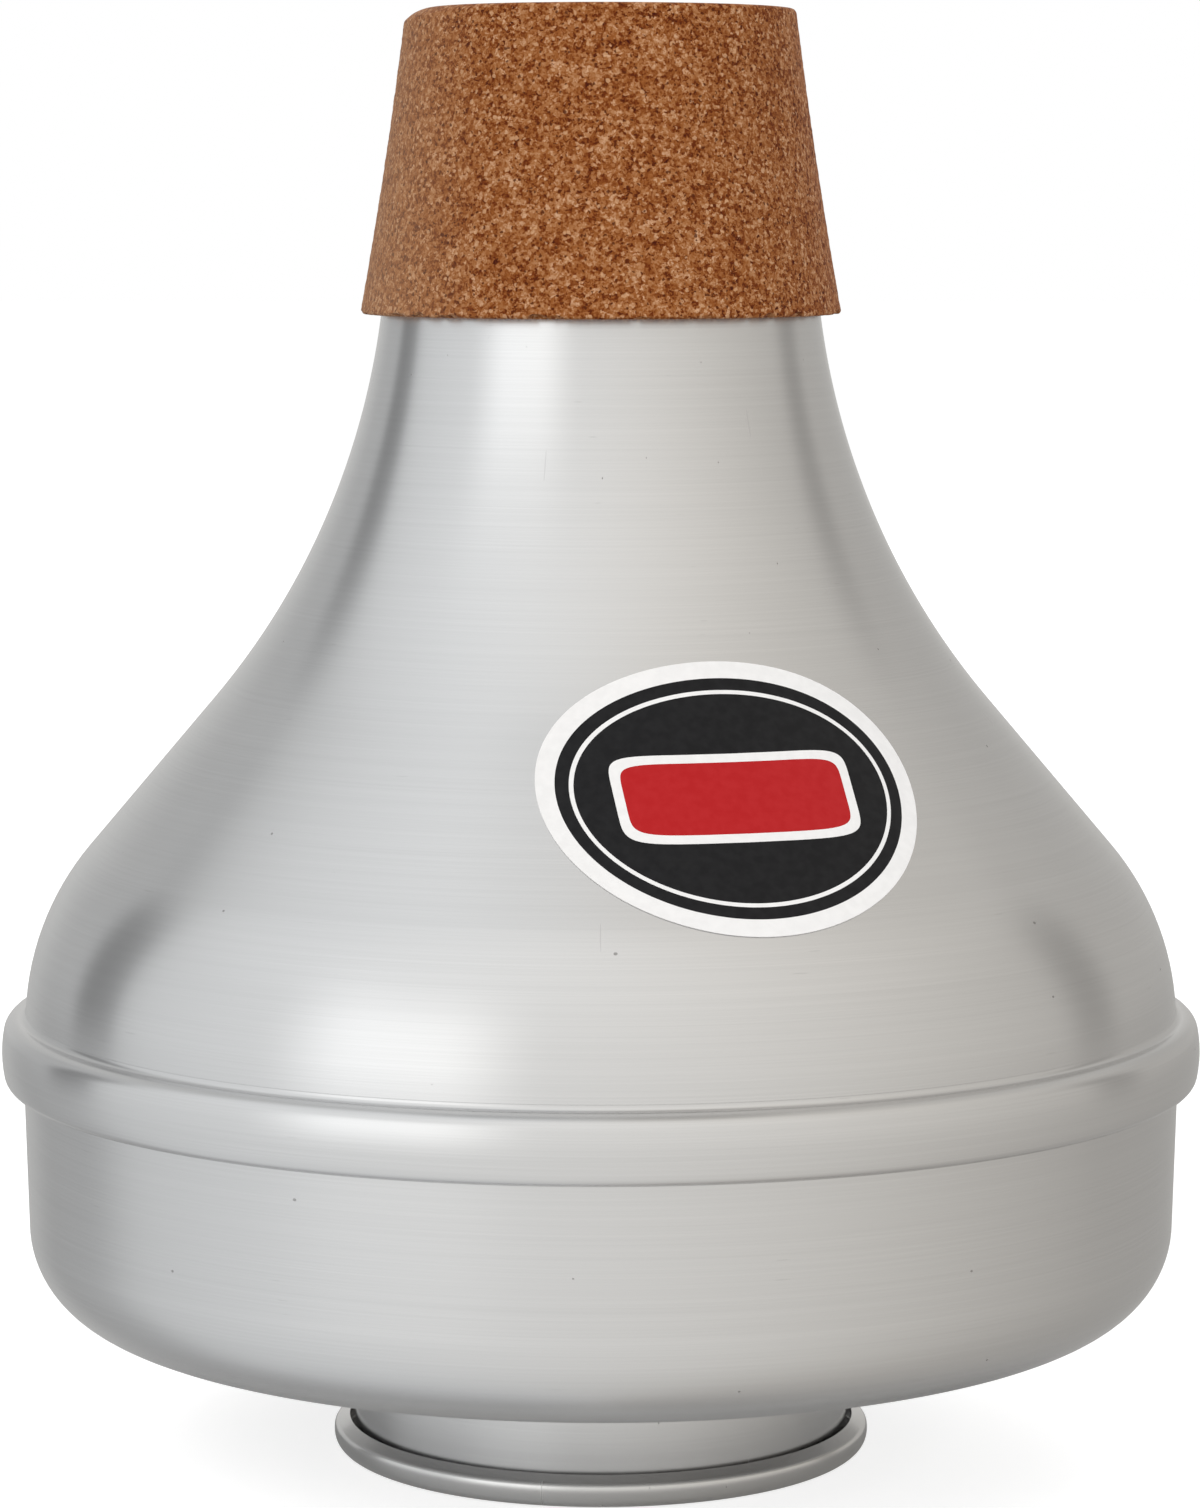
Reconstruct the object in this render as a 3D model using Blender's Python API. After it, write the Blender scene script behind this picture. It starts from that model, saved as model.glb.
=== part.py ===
"""Trombone wah-wah mute: a hollow spun-aluminium body with a cork seat at its small
end, and a stem, a tube with a cup on it, that slides out of the large end.

Every piece but the label is turned about the upright Z axis. The mute stands on the
rolled lip of its stem cup, so z = 0 is the lowest face of that lip. The front is -Y.
"""
import math

import bmesh
import bpy
from mathutils import Vector
from mathutils.geometry import interpolate_bezier

MM = 0.001

# Facets round the axis, points along the flare, and how far an arc's chords may cut in
SEGMENTS = 48
FLARE_POINTS = 9
CHORD_DEPTH = 0.1 * MM

# Sheet thicknesses, and the gap between pieces that touch
BODY_SHEET = 0.9 * MM
STEM_SHEET = 0.8 * MM
GAP = 0.3 * MM

# Heights of the body, stacked from the neck's lower edge up to the cork's end
NECK_LENGTH = 15.55 * MM
PAN_HEIGHT = 28.0 * MM
BAND_HEIGHT = 8.05 * MM
BELL_HEIGHT = 80.7 * MM
CORK_HEIGHT = 34.85 * MM

# Band where the two shells meet
BAND_DIAMETER = 140.0 * MM
BAND_WALL = 2.2 * MM
BAND_STEP = 2.75 * MM
BAND_TAPER = 0.3 * MM
BAND_TOP_ROUND = 2.3 * MM
BAND_BOTTOM_ROUND = 1.0 * MM
BAND_GROOVE = 0.4 * MM

# Upper shell: flare under the cork, straight cone, round shoulder
MOUTH_DIAMETER = 50.8 * MM
MOUTH_SLOPE = math.radians(7.4)
CONE_SLOPE = math.radians(40.3)
CONE_LENGTH = 22.8 * MM
SHOULDER_RADIUS = 31.2 * MM
SHOULDER_SINK = 1.5 * MM
FLARE_HANDLE = 0.34

# Lower shell
PAN_TAPER = 0.45 * MM
PAN_CORNER_RADIUS = 11.15 * MM
PAN_HOLE_ROUND = 1.5 * MM
PAN_HOLE_LIP = 4.5 * MM

# Cork
CORK_TOP_DIAMETER = 44.9 * MM
CORK_THICKNESS = 2.15 * MM
CORK_HOLLOW = 0.25 * MM
CORK_TOP_ROUND = 0.8 * MM
CORK_BOTTOM_ROUND = 0.4 * MM
CORK_OVERHANG = 0.5 * MM

# Stem cup with its rolled lip, and the well of the body that it nests in
NECK_DIAMETER = 58.2 * MM
CUP_DEPTH = 28.0 * MM
CUP_CORNER_RADIUS = 13.0 * MM
CUP_FLOOR_RING = 0.5 * MM
CUP_COLLAR_ROUND = 1.2 * MM
CUP_COLLAR_HEIGHT = 5.0 * MM
LIP_OVERHANG = 2.6 * MM
LIP_HEIGHT = 3.6 * MM
LIP_HEEL_ROUND = 0.4 * MM
LIP_CURL_END = math.radians(97.0)
WELL_HEADROOM = 1.0 * MM

# Stem tube, and the sleeve and cork lining that grip it
TUBE_DIAMETER = 22.0 * MM
TUBE_HEIGHT = 80.8 * MM
LINING_THICKNESS = 1.8 * MM
LINING_LENGTH = 16.0 * MM
LINING_HEADROOM = 1.0 * MM
SLEEVE_FLANGE_WIDTH = 5.0 * MM
SLEEVE_END_LIP = 1.4 * MM
SLEEVE_BEND = 0.9 * MM

# Oval label on the front right of the cone
LABEL_WIDTH = 44.0 * MM
LABEL_HEIGHT = 35.0 * MM
LABEL_THICKNESS = 0.25 * MM
LABEL_ABOVE_BAND = 35.0 * MM
LABEL_TURN = math.radians(17.3)
LABEL_SPOKES = 32
LABEL_RINGS = 4

# Levels that follow from the sizes above
NECK_EDGE = STEM_SHEET + GAP
PAN_FLOOR = NECK_EDGE + NECK_LENGTH
BAND_BOTTOM = PAN_FLOOR + PAN_HEIGHT
BAND_TOP = BAND_BOTTOM + BAND_HEIGHT
MOUTH_LEVEL = BAND_TOP + BELL_HEIGHT
CORK_END = MOUTH_LEVEL + CORK_HEIGHT

# Radii that follow from the sizes above
BAND_R = BAND_DIAMETER / 2
SHELL_R = BAND_R - BAND_STEP
PAN_R = BAND_R - BAND_WALL - GAP
MOUTH_R = MOUTH_DIAMETER / 2
CORK_TOP_R = CORK_TOP_DIAMETER / 2
CORK_BOTTOM_R = MOUTH_R + GAP + CORK_THICKNESS
NECK_R = NECK_DIAMETER / 2
LIP_R = NECK_R + LIP_OVERHANG
CUP_R = NECK_R - BODY_SHEET - GAP
TUBE_R = TUBE_DIAMETER / 2
LINING_R = TUBE_R + GAP + LINING_THICKNESS
SLEEVE_BORE_R = LINING_R + GAP


def clear_scene():
    """Removes what a new file holds."""
    for thing in list(bpy.data.objects):
        bpy.data.objects.remove(thing, do_unlink=True)


def arc(centre, radius, start, end):
    """Points (r, z) on a circle from one angle to another, both ends included."""
    widest = 2.0 * math.acos(1.0 - CHORD_DEPTH / radius)
    steps = math.ceil(abs(end - start) / widest)
    angles = [start + (end - start) * k / steps for k in range(steps + 1)]
    return [(centre[0] + radius * math.cos(a), centre[1] + radius * math.sin(a)) for a in angles]


def offset(line, distance):
    """The line moved sideways by a distance, to the right of its direction."""
    corners = [Vector(point) for point in line]
    rights = []
    for a, b in zip(corners, corners[1:]):
        along = (b - a).normalized()
        rights.append(Vector((along.y, -along.x)))
    moved = []
    for k, corner in enumerate(corners):
        before = rights[max(k - 1, 0)]
        after = rights[min(k, len(rights) - 1)]
        middle = (before + after).normalized()
        moved.append(tuple(corner + middle * distance / middle.dot(after)))
    return moved


def sheet(line, thickness):
    """Closed outline of sheet metal whose outer face is the line."""
    return line + offset(line, thickness)[::-1]


def material(name, colour, roughness, metallic):
    """A plain Principled material."""
    made = bpy.data.materials.new(name)
    made.use_nodes = True
    shader = made.node_tree.nodes["Principled BSDF"]
    shader.inputs["Base Color"].default_value = (*colour, 1.0)
    shader.inputs["Roughness"].default_value = roughness
    shader.inputs["Metallic"].default_value = metallic
    return made


def add_object(name, mesh, look, carrier):
    """Puts a mesh into the scene as one smooth-shaded piece of a group."""
    mesh.materials.append(look)
    mesh.shade_smooth()
    mesh.set_sharp_from_angle(angle=math.radians(35.0))
    piece = bpy.data.objects.new(name, mesh)
    bpy.context.scene.collection.objects.link(piece)
    piece.parent = carrier
    return piece


def turned(name, outline, look, carrier):
    """A solid made by turning a closed outline of (r, z) points about the Z axis."""
    mesh = bpy.data.meshes.new(name)
    shape = bmesh.new()
    corners = [shape.verts.new((r, 0.0, z)) for r, z in outline]
    edges = [shape.edges.new((a, b)) for a, b in zip(corners, corners[1:] + corners[:1])]
    bmesh.ops.spin(
        shape,
        geom=corners + edges,
        cent=(0.0, 0.0, 0.0),
        axis=(0.0, 0.0, 1.0),
        angle=math.tau,
        steps=SEGMENTS,
        use_merge=True,
    )
    bmesh.ops.recalc_face_normals(shape, faces=shape.faces)
    shape.to_mesh(mesh)
    shape.free()
    return add_object(name, mesh, look, carrier)


def bell_line():
    """Outer face of the upper shell, from the cork's lower edge down to the band's top."""
    shoulder = (SHELL_R - SHOULDER_RADIUS, BAND_TOP - SHOULDER_SINK)
    last_angle = math.asin(SHOULDER_SINK / SHOULDER_RADIUS)
    round_part = arc(shoulder, SHOULDER_RADIUS, CONE_SLOPE, last_angle)
    down_cone = Vector((math.sin(CONE_SLOPE), -math.cos(CONE_SLOPE)))
    down_mouth = Vector((math.sin(MOUTH_SLOPE), -math.cos(MOUTH_SLOPE)))
    cone_top = Vector(round_part[0]) - down_cone * CONE_LENGTH
    mouth = Vector((MOUTH_R, MOUTH_LEVEL))
    reach = (cone_top - mouth).length * FLARE_HANDLE
    flare = interpolate_bezier(
        mouth,
        mouth + down_mouth * reach,
        cone_top - down_cone * reach,
        cone_top,
        FLARE_POINTS,
    )
    return [tuple(point) for point in flare] + round_part


def cork_side(radius_top, radius_bottom, level):
    """Radius of the cork's straight cone at a level."""
    share = (CORK_END - level) / CORK_HEIGHT
    return radius_top + (radius_bottom - radius_top) * share


def upper_shell_outline():
    """Seat for the cork, flare, cone, shoulder, and a band that goes over the lower shell."""
    seat_end = CORK_END - CORK_OVERHANG
    seat_top_r = CORK_TOP_R - CORK_THICKNESS - GAP
    seat_r = cork_side(seat_top_r, MOUTH_R, seat_end)
    spun = [(seat_r, seat_end)] + bell_line()
    spun = spun[:-1] + [(spun[-1][0], BAND_TOP + BAND_GROOVE)]
    inner = offset(spun, BODY_SHEET)
    top_centre = (BAND_R - BAND_TOP_ROUND, BAND_TOP - BAND_TOP_ROUND)
    bottom_r = BAND_R - BAND_TAPER - BAND_BOTTOM_ROUND
    bottom_centre = (bottom_r, BAND_BOTTOM + BAND_BOTTOM_ROUND)
    band = arc(top_centre, BAND_TOP_ROUND, math.radians(90.0), 0.0)
    band += arc(bottom_centre, BAND_BOTTOM_ROUND, 0.0, math.radians(-90.0))
    ledge = BAND_TOP - BODY_SHEET
    bore = PAN_R + GAP
    skirt = [(bore, BAND_BOTTOM), (bore, ledge), (inner[-1][0], ledge)]
    return spun + band + skirt + inner[::-1]


def lower_shell_outline():
    """Pan whose rim stands inside the band, with a rounded hole for the neck in its floor."""
    rim = BAND_TOP - BODY_SHEET - GAP
    foot_r = PAN_R - PAN_TAPER
    corner = (foot_r - PAN_CORNER_RADIUS, PAN_FLOOR + PAN_CORNER_RADIUS)
    hole_r = NECK_R + GAP
    hole = (hole_r + PAN_HOLE_ROUND, PAN_FLOOR + PAN_HOLE_ROUND)
    line = [(PAN_R, rim), (PAN_R, BAND_BOTTOM)]
    line += arc(corner, PAN_CORNER_RADIUS, 0.0, math.radians(-90.0))
    line += arc(hole, PAN_HOLE_ROUND, math.radians(-90.0), math.radians(-180.0))
    line += [(hole_r, PAN_FLOOR + PAN_HOLE_ROUND + PAN_HOLE_LIP)]
    return sheet(line, BODY_SHEET)


def cork_outline():
    """Tapered cork sleeve, slightly hollow along its outer side."""
    outer = []
    top_level = CORK_END - CORK_TOP_ROUND
    bottom_level = MOUTH_LEVEL + CORK_BOTTOM_ROUND
    rows = 4
    for k in range(rows + 1):
        share = k / rows
        level = top_level + (bottom_level - top_level) * share
        hollow = CORK_HOLLOW * 4.0 * share * (1.0 - share)
        outer.append((cork_side(CORK_TOP_R, CORK_BOTTOM_R, level) - hollow, level))
    top_edge = arc((outer[0][0] - CORK_TOP_ROUND, top_level), CORK_TOP_ROUND, math.radians(90.0), 0.0)
    low_edge = (outer[-1][0] - CORK_BOTTOM_ROUND, MOUTH_LEVEL)
    bore_top = (CORK_TOP_R - CORK_THICKNESS, CORK_END)
    bore_bottom = (MOUTH_R + GAP, MOUTH_LEVEL)
    return [bore_top] + top_edge[:-1] + outer + [low_edge, bore_bottom]


def cup_corner_radius():
    """Radius of the stem cup's corner, which leaves at least a narrow ring of flat floor."""
    return min(CUP_CORNER_RADIUS, CUP_R - SLEEVE_BORE_R - CUP_FLOOR_RING)


def cup_line():
    """Face of the stem cup that looks towards the body, from its collar out to its lip."""
    collar_r = TUBE_R + GAP + STEM_SHEET
    fillet = (collar_r + CUP_COLLAR_ROUND, CUP_DEPTH + CUP_COLLAR_ROUND)
    corner_r = cup_corner_radius()
    corner = (CUP_R - corner_r, CUP_DEPTH - corner_r)
    heel = (CUP_R + LIP_HEEL_ROUND, STEM_SHEET + LIP_HEEL_ROUND)
    curl_r = LIP_HEIGHT / 2
    curl = (LIP_R - curl_r, curl_r)
    line = [(collar_r, CUP_DEPTH + CUP_COLLAR_HEIGHT)]
    line += arc(fillet, CUP_COLLAR_ROUND, math.radians(180.0), math.radians(270.0))
    line += arc(corner, corner_r, math.radians(90.0), 0.0)
    line += arc(heel, LIP_HEEL_ROUND, math.radians(180.0), math.radians(270.0))
    line += arc(curl, curl_r - STEM_SHEET, math.radians(-90.0), LIP_CURL_END)
    return line


def well_floor():
    """Level of the top of the well's floor."""
    return CUP_DEPTH + WELL_HEADROOM + BODY_SHEET


def well_outline():
    """Spun well, open at the bottom, that the stem cup nests in; its mouth is the neck."""
    corner_r = cup_corner_radius() + GAP + BODY_SHEET
    corner = (NECK_R - corner_r, well_floor() - corner_r)
    line = [(SLEEVE_BORE_R, well_floor())]
    line += arc(corner, corner_r, math.radians(90.0), 0.0)
    line += [(NECK_R, NECK_EDGE)]
    return sheet(line, BODY_SHEET)


def lining_foot():
    """Level of the lower end of the lining, clear of the cup's collar."""
    return CUP_DEPTH + CUP_COLLAR_HEIGHT + LINING_HEADROOM


def sleeve_outline():
    """Flanged sleeve that stands on the well's floor, turned in over the lining's end."""
    wall_r = SLEEVE_BORE_R + STEM_SHEET
    top = lining_foot() + LINING_LENGTH + GAP + STEM_SHEET
    flange_top = well_floor() + GAP + STEM_SHEET
    bend = (wall_r - SLEEVE_BEND, top - SLEEVE_BEND)
    line = [(wall_r - SLEEVE_BEND - SLEEVE_END_LIP, top)]
    line += arc(bend, SLEEVE_BEND, math.radians(90.0), 0.0)
    line += [(wall_r, flange_top), (wall_r + SLEEVE_FLANGE_WIDTH, flange_top)]
    return sheet(line, STEM_SHEET)


def lining_outline():
    """Cork sleeve inside the guide sleeve, which grips the stem tube."""
    bore = TUBE_R + GAP
    foot = lining_foot()
    top = foot + LINING_LENGTH
    return [(bore, top), (LINING_R, top), (LINING_R, foot), (bore, foot)]


def tube_outline():
    """Open tube from the floor of the stem cup up into the body."""
    foot = CUP_DEPTH - STEM_SHEET
    bore = TUBE_R - STEM_SHEET
    top = CUP_DEPTH + TUBE_HEIGHT
    return [(bore, top), (TUBE_R, top), (TUBE_R, foot), (bore, foot)]


def along(line, distance):
    """Point and outward normal on a line, a distance along it from its last point."""
    points = [Vector(point) for point in reversed(line)]
    steps = [b - a for a, b in zip(points, points[1:])]
    k = 0
    left = distance
    while k < len(steps) - 1 and left > steps[k].length:
        left -= steps[k].length
        k += 1
    direction = steps[k].normalized()
    return points[k] + direction * left, Vector((direction.y, -direction.x))


def label_point(line, share, turn, lift):
    """A point of the label: a share of the way out to its edge, at a turn round its centre."""
    across = LABEL_WIDTH / 2 * share * math.cos(turn)
    upward = LABEL_HEIGHT / 2 * share * math.sin(turn)
    spot, normal = along(line, LABEL_ABOVE_BAND + upward)
    place = spot + normal * lift
    angle = math.radians(-90.0) + LABEL_TURN + across / spot.x
    return (place.x * math.cos(angle), place.x * math.sin(angle), place.y)


def label(name, look, carrier):
    """Thin oval label that follows the cone and the shoulder."""
    line = bell_line()
    mesh = bpy.data.meshes.new(name)
    shape = bmesh.new()
    layers = []
    for lift in (GAP, GAP + LABEL_THICKNESS):
        centre = shape.verts.new(label_point(line, 0.0, 0.0, lift))
        rings = []
        for ring in range(1, LABEL_RINGS + 1):
            share = ring / LABEL_RINGS
            turns = [math.tau * k / LABEL_SPOKES for k in range(LABEL_SPOKES)]
            rings.append([shape.verts.new(label_point(line, share, turn, lift)) for turn in turns])
        for k in range(LABEL_SPOKES):
            after = (k + 1) % LABEL_SPOKES
            shape.faces.new((centre, rings[0][k], rings[0][after]))
            for low, high in zip(rings, rings[1:]):
                shape.faces.new((low[k], high[k], high[after], low[after]))
        layers.append(rings[-1])
    back, front = layers
    for k in range(LABEL_SPOKES):
        after = (k + 1) % LABEL_SPOKES
        shape.faces.new((back[k], back[after], front[after], front[k]))
    bmesh.ops.recalc_face_normals(shape, faces=shape.faces)
    shape.to_mesh(mesh)
    shape.free()
    return add_object(name, mesh, look, carrier)


def group(name, level):
    """An empty on the mute's axis that carries the pieces of one rigid group."""
    empty = bpy.data.objects.new(name, None)
    empty.empty_display_size = BAND_R
    empty.location = (0.0, 0.0, level)
    bpy.context.scene.collection.objects.link(empty)
    return empty


def build():
    """Makes every piece."""
    clear_scene()
    spun = material("spun_aluminium", (0.72, 0.73, 0.74), 0.36, 1.0)
    bright = material("stem_aluminium", (0.76, 0.77, 0.78), 0.30, 1.0)
    inner = material("sleeve_aluminium", (0.66, 0.67, 0.68), 0.45, 1.0)
    cork = material("agglomerated_cork", (0.43, 0.22, 0.10), 0.85, 0.0)
    lining = material("lining_cork", (0.50, 0.30, 0.16), 0.85, 0.0)
    print_look = material("label_vinyl", (0.80, 0.80, 0.79), 0.35, 0.0)

    body = group("body_axis", 0.0)
    turned("upper_shell", upper_shell_outline(), spun, body)
    turned("lower_shell", lower_shell_outline(), spun, body)
    turned("cork_sleeve", cork_outline(), cork, body)
    turned("stem_well", well_outline(), spun, body)
    turned("guide_sleeve", sleeve_outline(), inner, body)
    turned("guide_lining", lining_outline(), lining, body)
    label("front_label", print_look, body)

    stem = group("stem_axis", 0.0)
    turned("stem_tube", tube_outline(), bright, stem)
    turned("stem_cup", sheet(cup_line(), STEM_SHEET), bright, stem)


build()
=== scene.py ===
"""Looks of a trombone wah-wah mute: fine turned pieces, cork, label and a soft studio.

Lengths are metres. The mute stands on z = 0, its axis is Z, and its front is -Y.
"""

import math

import bmesh
import bpy
import numpy as np
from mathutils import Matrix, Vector, noise
from mathutils.geometry import interpolate_bezier


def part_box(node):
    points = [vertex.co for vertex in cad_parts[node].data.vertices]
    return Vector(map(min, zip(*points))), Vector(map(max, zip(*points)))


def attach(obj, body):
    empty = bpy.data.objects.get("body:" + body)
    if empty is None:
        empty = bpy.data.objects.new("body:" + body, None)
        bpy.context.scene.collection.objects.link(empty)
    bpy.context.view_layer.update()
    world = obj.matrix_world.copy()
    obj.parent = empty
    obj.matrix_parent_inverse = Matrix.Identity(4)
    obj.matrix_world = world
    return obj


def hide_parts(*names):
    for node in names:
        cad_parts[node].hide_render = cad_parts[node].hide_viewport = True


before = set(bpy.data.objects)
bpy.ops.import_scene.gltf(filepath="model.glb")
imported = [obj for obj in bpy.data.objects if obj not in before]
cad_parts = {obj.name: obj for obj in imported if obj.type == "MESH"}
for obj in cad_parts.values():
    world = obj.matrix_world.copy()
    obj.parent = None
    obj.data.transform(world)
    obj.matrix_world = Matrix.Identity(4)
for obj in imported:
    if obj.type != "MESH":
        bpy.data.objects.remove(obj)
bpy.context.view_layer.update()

MM = 0.001

# Facets round the axis, points along the flare, an arc's chord depth, and a sharp edge's least angle
SEGMENTS = 288
FLARE_POINTS = 40
CHORD_DEPTH = 0.008 * MM
SHARP_ANGLE = math.radians(32.0)

# Thickness of the sheet metal, and the gap that keeps joined pieces apart
BODY_SHEET = 0.9 * MM
STEM_SHEET = 0.8 * MM
GAP = 0.3 * MM

# Smaller play between pieces that fit closely
RIM_PLAY = 0.06 * MM
LEDGE_PLAY = 0.1 * MM
HOLE_PLAY = 0.08 * MM
CORK_PLAY = 0.05 * MM
TUBE_PLAY = 0.1 * MM

# Levels and radii that the frame gives
CORK_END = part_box("cork_sleeve")[1].z
MOUTH_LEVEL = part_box("cork_sleeve")[0].z
BAND_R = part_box("upper_shell")[1].x
BAND_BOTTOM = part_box("upper_shell")[0].z
PAN_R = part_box("lower_shell")[1].x
PAN_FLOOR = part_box("lower_shell")[0].z
RIM_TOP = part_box("lower_shell")[1].z
NECK_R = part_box("stem_well")[1].x
NECK_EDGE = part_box("stem_well")[0].z
WELL_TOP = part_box("stem_well")[1].z
TUBE_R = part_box("stem_tube")[1].x
TUBE_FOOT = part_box("stem_tube")[0].z
TUBE_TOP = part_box("stem_tube")[1].z
LINING_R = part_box("guide_lining")[1].x
LINING_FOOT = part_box("guide_lining")[0].z
LINING_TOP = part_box("guide_lining")[1].z
SLEEVE_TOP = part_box("guide_sleeve")[1].z
FLANGE_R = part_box("guide_sleeve")[1].x

# Band where the two shells meet, with a barrel-shaped face and a fine seam over its fillet
BAND_HEIGHT = 7.6 * MM
BAND_TOP = BAND_BOTTOM + BAND_HEIGHT
BAND_STEP = 2.75 * MM
BAND_TOP_ROUND = 1.85 * MM
BAND_FACE_RADIUS = 13.5 * MM
BAND_FACE_HIGH = math.radians(11.0)
BAND_FACE_LOW = math.radians(-11.0)
BAND_FILLET = 0.7 * MM
FILLET_START = math.radians(190.0)
SEAM_DEPTH = 0.03 * MM
SEAM_WIDTH = 0.08 * MM
SEAM_FLANK = 0.4
SKIRT_CHAMFER = 0.1 * MM
SHELL_R = BAND_R - BAND_STEP

# Upper shell: flare under the cork, straight cone, round shoulder
MOUTH_R = 25.4 * MM
MOUTH_SLOPE = math.radians(7.4)
CONE_SLOPE = math.radians(40.3)
CONE_LENGTH = 22.8 * MM
SHOULDER_RADIUS = 31.2 * MM
SHOULDER_SINK = 1.05 * MM
FLARE_HANDLE = 0.34

# Lower shell
PAN_TAPER = 0.45 * MM
PAN_CORNER_RADIUS = 11.15 * MM
PAN_HOLE_ROUND = 1.5 * MM
PAN_HOLE_LIP = 4.5 * MM

# Cork
CORK_TOP_R = 22.45 * MM
CORK_BOTTOM_R = 27.85 * MM
CORK_THICKNESS = 2.15 * MM
CORK_HOLLOW = 0.25 * MM
CORK_OVERHANG = 0.5 * MM
CORK_ROUND = 0.7 * MM
CORK_FOOT_ROUND = 0.35 * MM
CORK_SEGMENTS = 480
CORK_ROWS = 100
CORK_FACE_ROWS = 6

# Relief of the cork: its skin, two sizes of grain, the worn corner and the crumbly foot
CORK_SKIN = 0.9 * MM
GRAIN_SIZE = 0.8 * MM
GRAIN_RELIEF = 0.06 * MM
GRAIN_SINK = 0.9
FINE_GRAIN_SHARE = 0.6
FINE_GRAIN_RATIO = 2.3
WEAR_REACH = 3.0 * MM
WEAR_WIDTH = 2.9 * MM
WEAR_DEPTH = 1.75 * MM
WEAR_LEAST = 0.12
WEAR_TURN = 0.75
WEAR_CURVE = 1.5
CRUMB_SIZE = 1.7 * MM
CRUMB_DEPTH = 0.8 * MM
CRUMB_HEIGHT = 1.1 * MM
CRUMB_LEAST = 0.12
CRUMB_PLACE = Vector((5.0, 1.0, 2.0))

# Stem cup with its rolled lip
CUP_R = NECK_R - BODY_SHEET - GAP
CUP_DEPTH = TUBE_FOOT + STEM_SHEET
CUP_CORNER_RADIUS = 13.0 * MM
CUP_COLLAR_ROUND = 1.2 * MM
CUP_COLLAR_HEIGHT = 5.0 * MM
LIP_R = NECK_R + 2.45 * MM
LIP_HEEL_ROUND = 0.4 * MM
LIP_HOOK_ROUND = 0.4 * MM
LIP_WIDTH = 1.8 * MM
LIP_FOOT_ROUND = 1.75 * MM
LIP_SIDE_RADIUS = 3.2 * MM
LIP_SIDE_LOW = math.radians(-10.0)
LIP_SIDE_HIGH = math.radians(9.0)
LIP_EDGE_ROUND = 0.75 * MM
LIP_SLOPE = math.radians(24.0)

# Pieces inside
TUBE_EDGE = 0.2 * MM
SLEEVE_BEND = 0.9 * MM
SLEEVE_END_LIP = 1.4 * MM

# Oval label on the front right of the cone
LABEL_LIFT = 0.02 * MM
LABEL_THICKNESS = 0.14 * MM
LABEL_ABOVE_BAND = 35.05 * MM
LABEL_TURN = math.radians(17.3)
LABEL_SPOKES = 240
BAR_SQUARENESS = 7.0
WHITE, BLACK, RED = range(3)

# Metal: what its marks do to its tone, how far its roughness varies, and its worn spots
MARK_DARK = 0.965
MARK_LIGHT = 1.025
ROUGH_SPREAD = 0.04
WORN_ROUGH = 0.15
WORN_METAL = (0.42, 0.415, 0.41)

# Cork: size of its grains, their colours from dark to light, chips, bits, and a painted sheen that makes
# its left side paler, as light from the left would
CORK_GRAIN = 0.46 * MM
LINING_GRAIN = 0.45 * MM
CORK_TONES = [
    (0.12, (0.045, 0.004, 0.0005)),
    (0.30, (0.145, 0.027, 0.002)),
    (0.48, (0.275, 0.087, 0.019)),
    (0.68, (0.395, 0.176, 0.070)),
    (0.86, (0.580, 0.340, 0.200)),
]
CHIP_COLOUR = (0.60, 0.345, 0.185)
BIT_COLOUR = (0.070, 0.011, 0.001)
# Painted sheen: colour, share and reach that make the cork's left side paler, as light from the left would
LEFT_SHEEN_COLOUR = (0.50, 0.33, 0.20)
LEFT_SHEEN_SHARE = 0.26
LEFT_SHEEN_FROM = 12.0 * MM
LEFT_SHEEN_TO = 27.0 * MM

# Vinyl's lighter spots
VINYL_LIGHT = 1.04
VINYL_LIFT = 0.004

# World: its brightness where it is looked at, and as a light on what isn't shiny
WORLD_SEEN = 1.0
WORLD_LIT = 0.55

# Floor: half its width, how far it lies under the lip, its paint, and its glow where it is looked at
FLOOR_HALF = 6.0
FLOOR_SINK = 0.02 * MM
FLOOR_PAINT = 0.50
FLOOR_GLOW = 0.73

# Ways from the axis where the floor fades to clear for the metal, and is partly clear by the lip
MIRROR_NEAR = 40.0 * MM
MIRROR_FAR = 78.0 * MM
BESIDE_NEAR = 38.0 * MM
BESIDE_FAR = 50.0 * MM
BESIDE_SHARE = 0.28

# Light tent: a round room, with its brightness low, at the mute's height, and high
TENT_R = 2.5
TENT_HEIGHT = 80.0 * MM
TENT_TURNS = 96
TENT_RINGS = 48
ROOM_LOW = 0.63
ROOM_MIDDLE = 0.71
ROOM_HIGH = 0.78

# Heights, as shares of the tent's radius, between which low, middle and high fade into each other
LOW_FADE = (-0.18, 0.03)
HIGH_FADE = (0.34, 0.62)

# The room is brightest a little left of the camera, cooler on its left and warmer on its right
BRIGHT_TURN = math.radians(-30.0)
BRIGHT_SIDE = 0.22
COOL = (0.985, 1.0, 1.01)
WARM = (1.04, 1.0, 0.94)

# Lights and flags: turn to the right of the camera, reach at full, reach at nothing, and brightness
KEY_LIGHT = (math.radians(-40.0), math.radians(8.0), math.radians(30.0), 0.45)
BACK_LIGHT = (math.radians(180.0), math.radians(0.0), math.radians(25.0), 0.15)
LEFT_SHADE = (math.radians(-128.0), math.radians(8.0), math.radians(30.0), -0.14)
LEFT_FLAG = (math.radians(-117.0), math.radians(6.0), math.radians(10.0), -0.32)
RIGHT_FLAG = (math.radians(112.0), math.radians(2.0), math.radians(12.0), -0.18)

# The tent's brightness at places from its foot, 0, to its top, 1
TENT_ENDS = [(0.0, 0.78), (0.12, 0.94), (0.40, 1.0), (0.965, 1.0), (0.985, 0.72)]

# Lamps: place, power in watts and colour of each, one size for all, and where they aim
LAMPS = {
    "key": ((-0.9, -1.1, 1.0), 14.0, (1.0, 1.0, 1.0)),
    "fill": ((1.2, -0.8, 0.6), 8.0, (1.0, 0.99, 0.97)),
    "back": ((0.3, 1.3, 0.9), 8.0, (1.0, 1.0, 1.0)),
}
LAMP_SIZE = 0.9
LAMP_AIM = Vector((0.0, 0.0, 90.0 * MM))

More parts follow.
